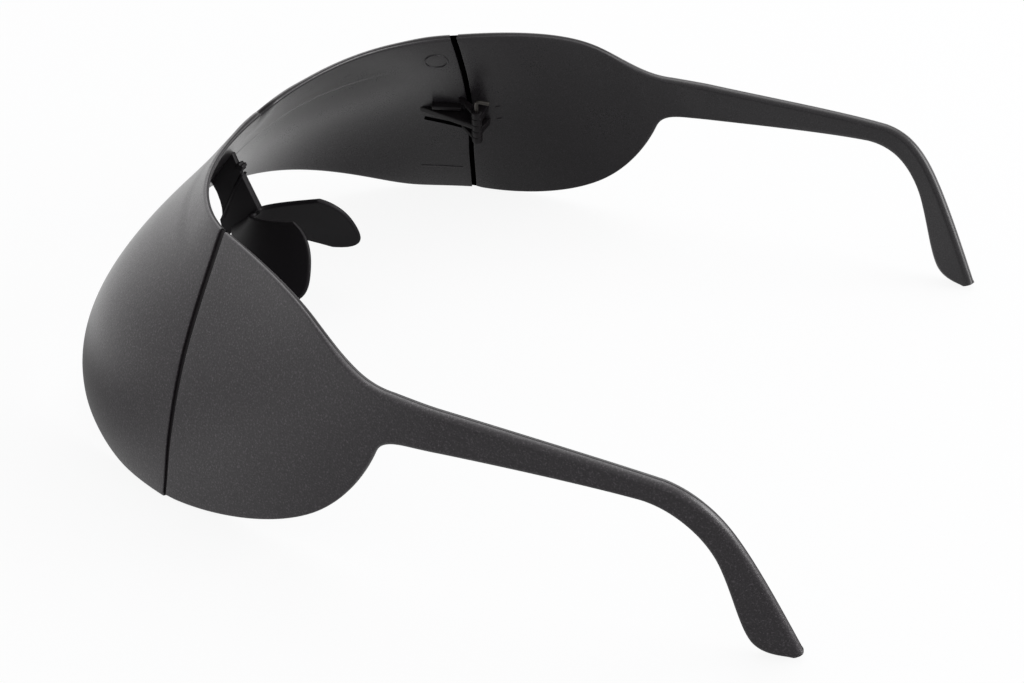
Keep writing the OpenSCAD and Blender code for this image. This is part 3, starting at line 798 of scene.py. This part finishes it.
def finish_named(scene, name):
    """The finish of that name, made on its first use."""
    if name in bpy.data.materials:
        return bpy.data.materials[name]
    f = scene.limiter_finish
    if name == "spring_wire":
        return spring_wire(name, f.wire)
    # Colour, then size of the grain, its depth, roughness, gloss, speckle and coat
    blacks = {
        "grained_shell": (f.shell, f.grain, f.grain_depth, 0.33, 0.45, 1.6, 0.95),
        "smooth_shell": (f.inside, 0.8 * f.grain, 0.25 * f.grain_depth, 0.3, 0.3, 0.5, 0.8),
        "satin_nose": (f.nose, f.grain, 0.2 * f.grain_depth, 0.42, 0.17, 0.15, 0),
        # Painted shade: the dark copy of the plastic for edge bands, the lip's outer side and the hinges
        "painted_shade_dark": (f.hinge_and_edge_shade, f.grain, 0.2 * f.grain_depth, 0.45, 0.26, 0.2, 0),
        # Painted shade: the black of the seam's gap, the end faces and the shadow strip under the gusset
        "painted_shade_black": (f.seam, f.grain, 0.2 * f.grain_depth, 0.8, 0.0, 0.1, 0),
    }
    return moulded_black(name, *blacks[name])


# The sides of the pieces that come in pairs, each with what turns a draft of the left one into it
SIDES = (("left", lambda draft: draft), ("right", Draft.mirrored))


def visor_finish(i, j, m):
    """Grained outside, smooth inside, and a band of painted shade along both edges."""
    return DARK_SHADE if j in (m // 2 - 1, m - 1) else GRAINED if j < m // 2 else SMOOTH


def shield_finish(i, j, m):
    """As on the visor, with the inner side drawn first, and the lip in painted shade: black on its inner
    side, dark on its outer side.
    """
    if i < ShieldForm.LIP_RINGS:
        return BLACK_SHADE if j < m // 2 else DARK_SHADE
    return DARK_SHADE if j in (m // 2 - 1, m - 1) else SMOOTH if j < m // 2 else GRAINED


class Bench:
    """The forms of the pieces, and the shift from their drawing frame to the row frame."""

    def __init__(self, scene):
        self.scene = scene
        self.visor = VisorForm(scene)
        self.shield = ShieldForm(scene, self.visor)
        self.hinge = HingeForm(scene, self.visor, self.shield)
        left = next(j for j in frame["joints"] if j["name"] == "left_fold")
        self.shift = Vector(left["pos_m"]) - self.hinge.at

    def piece(self, name, draft, finishes, body, slot="shell_plastic", node=None):
        """Turns a draft into a piece that rides on a body and may stand for a CAD node."""
        mesh = bpy.data.meshes.new(name)
        mesh.from_pydata([p + self.shift for p in draft.points], [], draft.faces)
        for finish in finishes:
            mesh.materials.append(finish_named(self.scene, finish))
        mesh.polygons.foreach_set("material_index", draft.finish)
        mesh.polygons.foreach_set("use_smooth", [True] * len(draft.faces))
        mesh.validate()
        mesh.set_sharp_from_angle(angle=math.radians(SHARP_ANGLE))
        made = bpy.data.objects.new(name, mesh)
        self.scene.collection.objects.link(made)
        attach(made, body)
        if node:
            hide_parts(node)


def knuckle(draft, hinge, k):
    """One knuckle of the hinge, bored for the wire."""
    s = hinge.size
    bore, outside, soft, half = s.wire / 2 + s.clearance, s.barrel / 2, s.softening, s.knuckle / 2
    mid = k * hinge.pitch
    rim = [(outside - back, z) for z, back in rounded_rows(mid - half, mid + half, soft, [])]
    draft.revolve([(bore, mid - half), *rim, (bore, mid + half)], hinge.matrix)


def rib(draft, hinge, k, thick, foot_a, foot_b):
    """A gusset to two feet on the wall, from two points in a knuckle that are shares of the barrel."""
    s, h = hinge.size, k * hinge.pitch
    near_a, near_b = Vector((-0.35, -0.1)) * s.barrel, Vector((0.2, 0.4)) * s.barrel
    draft.prism([near_a, foot_a, foot_b, near_b], h, thick, hinge.matrix, s.softening)


def visor_hinge(hinge):
    """What the visor carries of one hinge: three knuckles, their ribs, the gusset and the bar in painted
    shade, and a black strip of painted shadow on the wall below the gusset.
    """
    draft, s = Draft(), hinge.size
    for k in (-2, 0, 2):
        thick, reach = (s.rib, s.outer_reach) if k else (s.gusset, s.gusset_length)
        h = k * hinge.pitch
        knuckle(draft, hinge, k)
        rib(draft, hinge, k, thick, hinge.visor_foot(reach, h), hinge.visor_foot(s.foot_end, h))
    h = s.bar_rise
    a, b = hinge.visor_foot(s.bar_length + s.bar_end, h), hinge.visor_foot(s.bar_end, h)
    inward = (hinge.visor.wall / 2 + s.bar_stand) * Vector((b.y - a.y, a.x - b.x)).normalized()
    draft.prism([a, b, b - inward, a - inward], h, s.rib, hinge.matrix, s.softening)
    # The gusset's painted shadow: a black tube along the wall below it
    start = len(draft.faces)
    way = [(s.shadow_start * (1 - k), s.height - s.shadow_drop - k * s.shadow_fall)
           for k in steps(0, s.shadow_end, 12)]
    sunk = s.shadow_sunk * s.channel
    draft.tube([hinge.visor.inside(before, z, sunk) for before, z in way], s.channel / 2)
    draft.finish[start:] = [HINGE_FINISHES.index("painted_shade_black")] * (len(draft.faces) - start)
    return draft


def shield_hinge(hinge):
    """What a side shield carries of its hinge: two knuckles on blocks."""
    draft, s = Draft(), hinge.size
    near = s.back - s.rib_foot / 2
    for k in (-1, 1):
        h = k * hinge.pitch
        knuckle(draft, hinge, k)
        rib(draft, hinge, k, s.knuckle, hinge.shield_foot(near, h), hinge.shield_foot(near + s.rib_foot, h))
    return draft


def visor_marks(visor, marks):
    """The ring and the line that the mould left inside the visor, before the seam."""
    half = marks.ring / 2
    turns = [math.radians(10 * k) for k in range(37)]
    ring = [visor.inside(marks.ring_before + half * math.cos(a),
                         marks.ring_height + marks.ring_flat * half * math.sin(a)) for a in turns]
    bar = [visor.inside(marks.bar_before + x, marks.bar_height)
           for x in steps(marks.bar / 2, -marks.bar / 2, 12)]
    return Draft().tube(ring, marks.line / 2, 12).tube(bar, marks.line / 2, 12)


def shield_marks(shield, marks):
    """The two short marks that the mould left inside a side shield."""
    draft = Draft()
    for z in (marks.tick_low, marks.tick_high):
        draft.tube([shield.at(marks.tick_behind + x, z + marks.tick_slope * x, shield.wall)
                    for x in steps(-marks.tick / 2, marks.tick / 2, 4)], marks.line / 2, 12)
    return draft


class NoseForm:
    """The fin, the sleeve and the pads, in shares of the reach and the drop from the fin's root."""

    def __init__(self, scene, visor):
        self.size = scene.limiter_nose
        self.root = visor.at(0, self.size.root_height, visor.wall)
        self.fin_root = self.points((0.3, 0.297), (-0.398, -0.196))
        self.fin_front = self.points((-0.187, -0.407), (-0.096, -0.538), (-0.06, -0.648))
        self.mouth = self.points((-0.072, -0.786), (0.29, -0.324), (0.56, -0.03))
        self.rear, self.front, self.stop = self.points((1, -0.545), (0.1, -1.06), (0.53, 0.069))
        self.chin = self.points((-0.1, -1), (-0.15, -0.841))
        across = self.mouth[2] - self.mouth[0]
        self.to_fin = Vector((-across.y, across.x)).normalized()

    def points(self, *shares):
        """Points of the middle plane."""
        y, z, size = self.root.y, self.root.z, self.size
        return [Vector((y + a * size.reach, z + b * size.drop)) for a, b in shares]

    def pad_points(self, *places):
        """Points beside the middle plane, each with its distance in millimetres before its shares."""
        return [Vector((x * MM, *self.points(shares)[0])) for x, *shares in places]

    def pocket(self, e):
        """The walls of the tongue's pocket, from the rear of the mouth round to its front."""
        up_rear = (self.mouth[2] - self.rear).normalized()
        up_front = (self.chin[0] - self.front).normalized()
        along = (self.rear - self.front).normalized()
        return [self.mouth[2] + e * Vector((-up_rear.y, up_rear.x)),
                self.rear + e / abs(up_rear.cross(along)) * (up_rear - along),
                self.front + e / abs(up_front.cross(along)) * (up_front + along),
                self.chin[1] - e * self.to_fin, self.mouth[0] - e * self.to_fin]

    def tongue(self, e, root):
        """The tongue's outline, inset by e, which reaches by root past the mouth into the fin."""
        walls = self.pocket(e)
        up = root * self.to_fin
        return [walls[0] + up, *walls[1:], self.fin_front[1] + Vector((0.6 * e, 0)), self.mouth[1] + up]


# Stands a plan drawn in Y and Z upright on the middle plane
UPRIGHT = Matrix(((0, 0, 1, 0), (1, 0, 0, 0), (0, 1, 0, 0), (0, 0, 0, 1)))


class LIMITER_OT_visor(Operator):
    """Build the domed visor with its hinge knuckles and nose tab"""

    bl_idname = "limiter.visor"
    bl_label = "Visor"

    def execute(self, context):
        bench = Bench(context.scene)
        self.shell(bench, context.scene.limiter_seam)
        knuckles = visor_hinge(bench.hinge)
        marks = visor_marks(bench.visor, context.scene.limiter_marks)
        for side, turn in SIDES:
            bench.piece("visor_hinge_" + side, turn(knuckles), HINGE_FINISHES, "front")
        for side, turn in SIDES:
            bench.piece("visor_marks_" + side, turn(marks), ("smooth_shell",), "front")
        self.tab(bench, NoseForm(context.scene, bench.visor))
        return {"FINISHED"}

    def shell(self, bench, seam):
        """The domed wall, with a slot along both ends for the lips of the side shields."""
        visor = bench.visor
        half_way = 20 * MM
        end = (visor.skin(1, half_way) - visor.skin(1 - STEP_U, half_way)).length / STEP_U
        flange = (visor.wall - seam.lip) / 2 - seam.slot_room
        columns = [(1 - seam.slot / end, flange), (1, flange)]
        columns += [(1 - x / end, s) for x, s in round_steps(seam.end_round)]
        columns += [(u, 0.0) for u in steps(1 - seam.end_round / end, 0, 110)[1:]]
        columns += [(-u, s) for u, s in reversed(columns[:-1])]
        rings = []
        for u, near in reversed(columns):
            rows = visor.heights(u)
            outer, inner = [], []
            for z, s in rows:
                out, inside = visor.relief(u, z)
                outer.append(visor.at(u, z, max(s, near) + out))
                inner.append(visor.at(u, z, visor.wall - max(s, near) - inside))
            rings.append(outer + inner[::-1])
        shell = Draft().loft(rings, visor_finish)
        bench.piece("visor_shell", shell, SHELL_FINISHES, "front", node="visor")

    def tab(self, bench, fin):
        """The fin behind the arch, the tongue below it and the cross-shaped stop on its rear edge."""
        n = fin.size
        outline = fin.fin_root + fin.fin_front + [p + n.mouth * fin.to_fin for p in fin.mouth]
        tab = Draft().prism(outline, 0, n.fin, UPRIGHT, FIN_ROUND)
        tab.prism(fin.tongue(n.edge, n.fin), 0, n.tongue, UPRIGHT, TONGUE_ROUND)
        half, arm = n.stop / 2, n.stop / 5
        quarter = [Vector(c) for c in ((half, -arm), (half, arm), (arm, arm))]
        cross = [Matrix.Rotation(math.radians(turn), 2) @ c for turn in (0, 90, 180, 270) for c in quarter]
        tilt = math.atan2(*(fin.fin_root[0] - fin.mouth[2]))
        here = UPRIGHT @ Matrix.Translation((*fin.stop, 0)) @ Matrix.Rotation(-tilt, 4, "Z")
        tab.prism(cross, 0, n.fin + 2 * n.stop_out, here, STOP_ROUND)
        bench.piece("nose_tab", tab, ("satin_nose",), "front")


class LIMITER_OT_shields(Operator):
    """Build the two side shields with their arms"""

    bl_idname = "limiter.shields"
    bl_label = "Side shields and arms"

    def execute(self, context):
        bench = Bench(context.scene)
        shell = Draft().loft([ring[::-1] for ring in bench.shield.rings()], shield_finish)
        knuckles = shield_hinge(bench.hinge)
        marks = shield_marks(bench.shield, context.scene.limiter_marks)
        for side, turn in SIDES:
            body = side + "_arm"
            bench.piece("shield_" + side, turn(shell), SHELL_FINISHES, body, node="side_shield_" + side)
            # The shield's knuckles and blocks are in painted shade
            bench.piece("shield_hinge_" + side, turn(knuckles), ("painted_shade_dark",), body)
            bench.piece("shield_marks_" + side, turn(marks), ("smooth_shell",), body)
        return {"FINISHED"}


class LIMITER_OT_wires(Operator):
    """Build the two bent hinge wires"""

    bl_idname = "limiter.wires"
    bl_label = "Hinge wires"

    def execute(self, context):
        bench = Bench(context.scene)
        hinge, s = bench.hinge, bench.hinge.size
        low = -2 * hinge.pitch - s.knuckle / 2
        top = 2 * hinge.pitch + s.knuckle / 2 + s.rise
        bend = s.wire_bend * s.wire
        leg = Vector((math.sin(s.leg_turn), math.cos(s.leg_turn), 0))
        path = [Vector((0, 0, z)) for z in steps(low, top - bend, 12)]
        for a in (math.radians(10 * k) for k in range(1, 10)):
            turned = (1 - math.cos(a)) * leg + Vector((0, 0, math.sin(a)))
            path.append(Vector((0, 0, top - bend)) + bend * turned)
        path += [Vector((0, 0, top)) + d * leg for d in steps(bend, s.leg, 5)[1:]]
        draft = Draft().tube([hinge.matrix @ p for p in path], s.wire / 2)
        for side, turn in SIDES:
            bench.piece("wire_" + side, turn(draft), ("spring_wire",), side + "_arm",
                        "hinge_steel", "hinge_wire_" + side)
        return {"FINISHED"}


class LIMITER_OT_nose(Operator):
    """Build the push-on nose piece with its two pads"""

    bl_idname = "limiter.nose"
    bl_label = "Nose piece"

    def execute(self, context):
        bench = Bench(context.scene)
        form = NoseForm(context.scene, bench.visor)
        n = form.size
        outline = form.mouth + [form.rear, form.front] + form.chin
        inside, overlap = n.tongue / 2 + n.clearance, 0.1 * MM
        lip = [p - n.collar * form.to_fin for p in form.mouth]
        draft = Draft()
        for side in (-1, 1):
            draft.prism(outline, side * (inside + n.wall / 2), n.wall, UPRIGHT, SLEEVE_ROUND)
        corner = form.mouth[0] + n.edge * (form.mouth[1] - form.mouth[0]).normalized()
        walls = form.pocket(n.edge - n.clearance)
        spine = [form.mouth[2], form.rear, form.front] + form.chin + [form.mouth[0], corner] + walls[::-1]
        draft.prism(spine, 0, 2 * (inside + overlap), UPRIGHT, TONGUE_ROUND)
        for side in (1, -1):
            middle = side * (inside + overlap + n.wall / 2)
            draft.prism(form.mouth + lip[::-1], middle, n.wall, UPRIGHT, overlap)
        pad = self.pad(form)
        for side, turn in SIDES:
            draft.add(turn(pad).points, turn(pad).faces)
        bench.piece("nose_rest", draft, ("satin_nose",), "front", "nose_plastic", "nose_piece")
        return {"FINISHED"}

    def pad(self, form):
        """One thin pad: a sheet between an upper and a lower curve, with a rounded edge."""
        far = form.size.spread / MM
        high = form.pad_points(
            (0.6, 0.92, -0.62), (3.8, 0.6, -0.636), (6, 2.27, -0.475), (5.1, 2.63, -0.36))
        low = form.pad_points(
            (0.6, 0.19, -0.96), (6.8, 0.57, -1.16), (far + 1.2, 1.28, -1.49), (far, 2.94, -1.56))
        swell, corner_cut = Vector((0.7, 2.2, 0)) * MM, 0.2

        def skin(s, w):
            a, b = bezier(high, s), bezier(low, s)
            return a + w * (b - a) + swell * 4 * w * (1 - w) * s ** 3

        def normal(s, w):
            along = skin(s + STEP_U, w) - skin(s - STEP_U, w)
            return along.cross(skin(s, w + STEP_U) - skin(s, w - STEP_U)).normalized()

        half = form.size.pad / 2
        reach = (low[3] - low[0]).length
        columns = [(s, 0) for s in steps(0, 1 - half / reach, 36)[:-1]]
        columns += [(1 - x / reach, s) for x, s in reversed(round_steps(half))]
        rings = []
        for s, end in columns:
            span = (bezier(low, s) - bezier(high, s)).length
            front, back = [], []
            for x, edge in rounded_rows(0, span, half, steps(half, span - half, 26)[1:-1]):
                w = x / span
                bent = s * (1 - corner_cut * abs(2 * w - 1) ** 4)
                t = half - max(edge, end)
                point, n = skin(bent, w), normal(bent, w)
                front.append(point + t * n)
                back.append(point - t * n)
            rings.append(front + back[::-1])
        return Draft().loft([ring[::-1] for ring in rings])


class LIMITER_OT_stage(Operator):
    """Set up the floor, the light and the camera"""

    bl_idname = "limiter.stage"
    bl_label = "Stage"

    def execute(self, context):
        scene, stage = context.scene, context.scene.limiter_stage
        self.floor(scene, stage)
        self.light(scene, stage)
        self.camera(scene, stage)
        scene.view_settings.view_transform = "Standard"
        return {"FINISHED"}

    def floor(self, scene, stage):
        """A pale floor that keeps the shadows, and that glossy surfaces see in the tones of the glow."""
        half = stage.floor_size / 2
        corners = [(-half, -half, 0), (half, -half, 0), (half, half, 0), (-half, half, 0)]
        mesh = bpy.data.meshes.new("floor")
        mesh.from_pydata(corners, [], [(0, 1, 2, 3)])

        def build(shader):
            camera, glossy, through = (shader.node("ShaderNodeLightPath", output=name) for name in (
                "Is Camera Ray", "Is Glossy Ray", "Is Transmission Ray"))
            paper = shader.node("ShaderNodeBsdfDiffuse", sockets={"Color": solid(stage.floor)})
            white = shader.node("ShaderNodeEmission", sockets={"Color": (1, 1, 1, 1), "Strength": 1.0})
            seen = shader.node("ShaderNodeMixShader", sockets={
                0: (camera + through) * stage.floor_white, 1: paper, 2: white})
            place = shader.node("ShaderNodeTexCoord", output=3)
            back = shader.node("ShaderNodeVectorMath", {"operation": "DOT_PRODUCT"}, {
                0: place, 1: GLOW_WAY}, output=1)
            amount = GLOW_SCALE * back + GLOW_SHIFT
            tone = shader.node("ShaderNodeValToRGB", {"stops": GLOW_TONES}, {0: amount})
            glow = shader.node("ShaderNodeEmission", sockets={"Color": tone, "Strength": stage.floor_glow})
            return shader.node("ShaderNodeMixShader", sockets={0: glossy, 1: seen, 2: glow})

        mesh.materials.append(surface("paper_floor", build))
        floor = bpy.data.objects.new("floor", mesh)
        scene.collection.objects.link(floor)

    def light(self, scene, stage):
        """A soft sky and two large lamps that look at the middle of the table."""
        world = bpy.data.worlds.new("studio")
        world.use_nodes = True
        scene.world = world
        shader = Shader(world.node_tree)
        place = shader.node("ShaderNodeTexCoord", output=0)
        towards = shader.node("ShaderNodeVectorMath", {"operation": "DOT_PRODUCT"}, {
            0: place, 1: Vector(SKY_SIDE).normalized()}, output=1)
        tone = shader.node("ShaderNodeValToRGB", {"stops": SKY_TONES}, {0: towards * 0.5 + 0.5})
        back = shader.node("ShaderNodeBackground", sockets={"Color": tone, "Strength": stage.sky})
        shader.node("ShaderNodeOutputWorld", sockets={"Surface": back})
        lamps = (("overhead", stage.key, OVERHEAD_PLACE), ("behind", stage.rim, BEHIND_PLACE))
        for name, power, place in lamps:
            lamp = bpy.data.lights.new(name, "AREA")
            lamp.shape, lamp.size, lamp.energy = "DISK", LAMP_SIZE, power
            made = bpy.data.objects.new(name, lamp)
            made.location = place
            made.rotation_mode = "QUATERNION"
            made.rotation_quaternion = (-Vector(place)).to_track_quat("-Z", "Y")
            scene.collection.objects.link(made)

    def camera(self, scene, stage):
        """The photograph's view."""
        camera = bpy.data.cameras.new("camera")
        camera.lens, camera.sensor_width = stage.lens, 36
        camera.clip_start, camera.clip_end = 0.01, 50
        eye = bpy.data.objects.new("camera", camera)
        eye.location = Vector(CAMERA_PLACE) * MM
        eye.rotation_euler = Euler([math.radians(a) for a in CAMERA_TURN], "XYZ")
        scene.collection.objects.link(eye)
        scene.camera = eye


class LIMITER_PT_panel(Panel):
    """The glasses' pieces and their sizes"""

    bl_idname = "LIMITER_PT_panel"
    bl_label = "View limiter"
    bl_space_type = "VIEW_3D"
    bl_region_type = "UI"
    bl_category = "View limiter"

    def draw(self, context):
        for operator in OPERATORS:
            self.layout.operator(operator.bl_idname)
        for name, group in GROUPS.items():
            box = self.layout.box()
            box.label(text=group.__doc__)
            for size in group.__annotations__:
                box.prop(getattr(context.scene, name), size)


OPERATORS = (LIMITER_OT_stage, LIMITER_OT_visor, LIMITER_OT_shields, LIMITER_OT_wires, LIMITER_OT_nose)
CLASSES = (*GROUPS.values(), *OPERATORS, LIMITER_PT_panel)


def register():
    for cls in CLASSES:
        bpy.utils.register_class(cls)
    for name, group in GROUPS.items():
        setattr(bpy.types.Scene, name, PointerProperty(type=group))


def unregister():
    for name in GROUPS:
        delattr(bpy.types.Scene, name)
    for cls in reversed(CLASSES):
        bpy.utils.unregister_class(cls)


def main():
    """Builds everything."""
    register()
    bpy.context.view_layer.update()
    bpy.ops.limiter.stage()
    bpy.ops.limiter.visor()
    bpy.ops.limiter.shields()
    bpy.ops.limiter.wires()
    bpy.ops.limiter.nose()


if __name__ == "__main__":
    main()
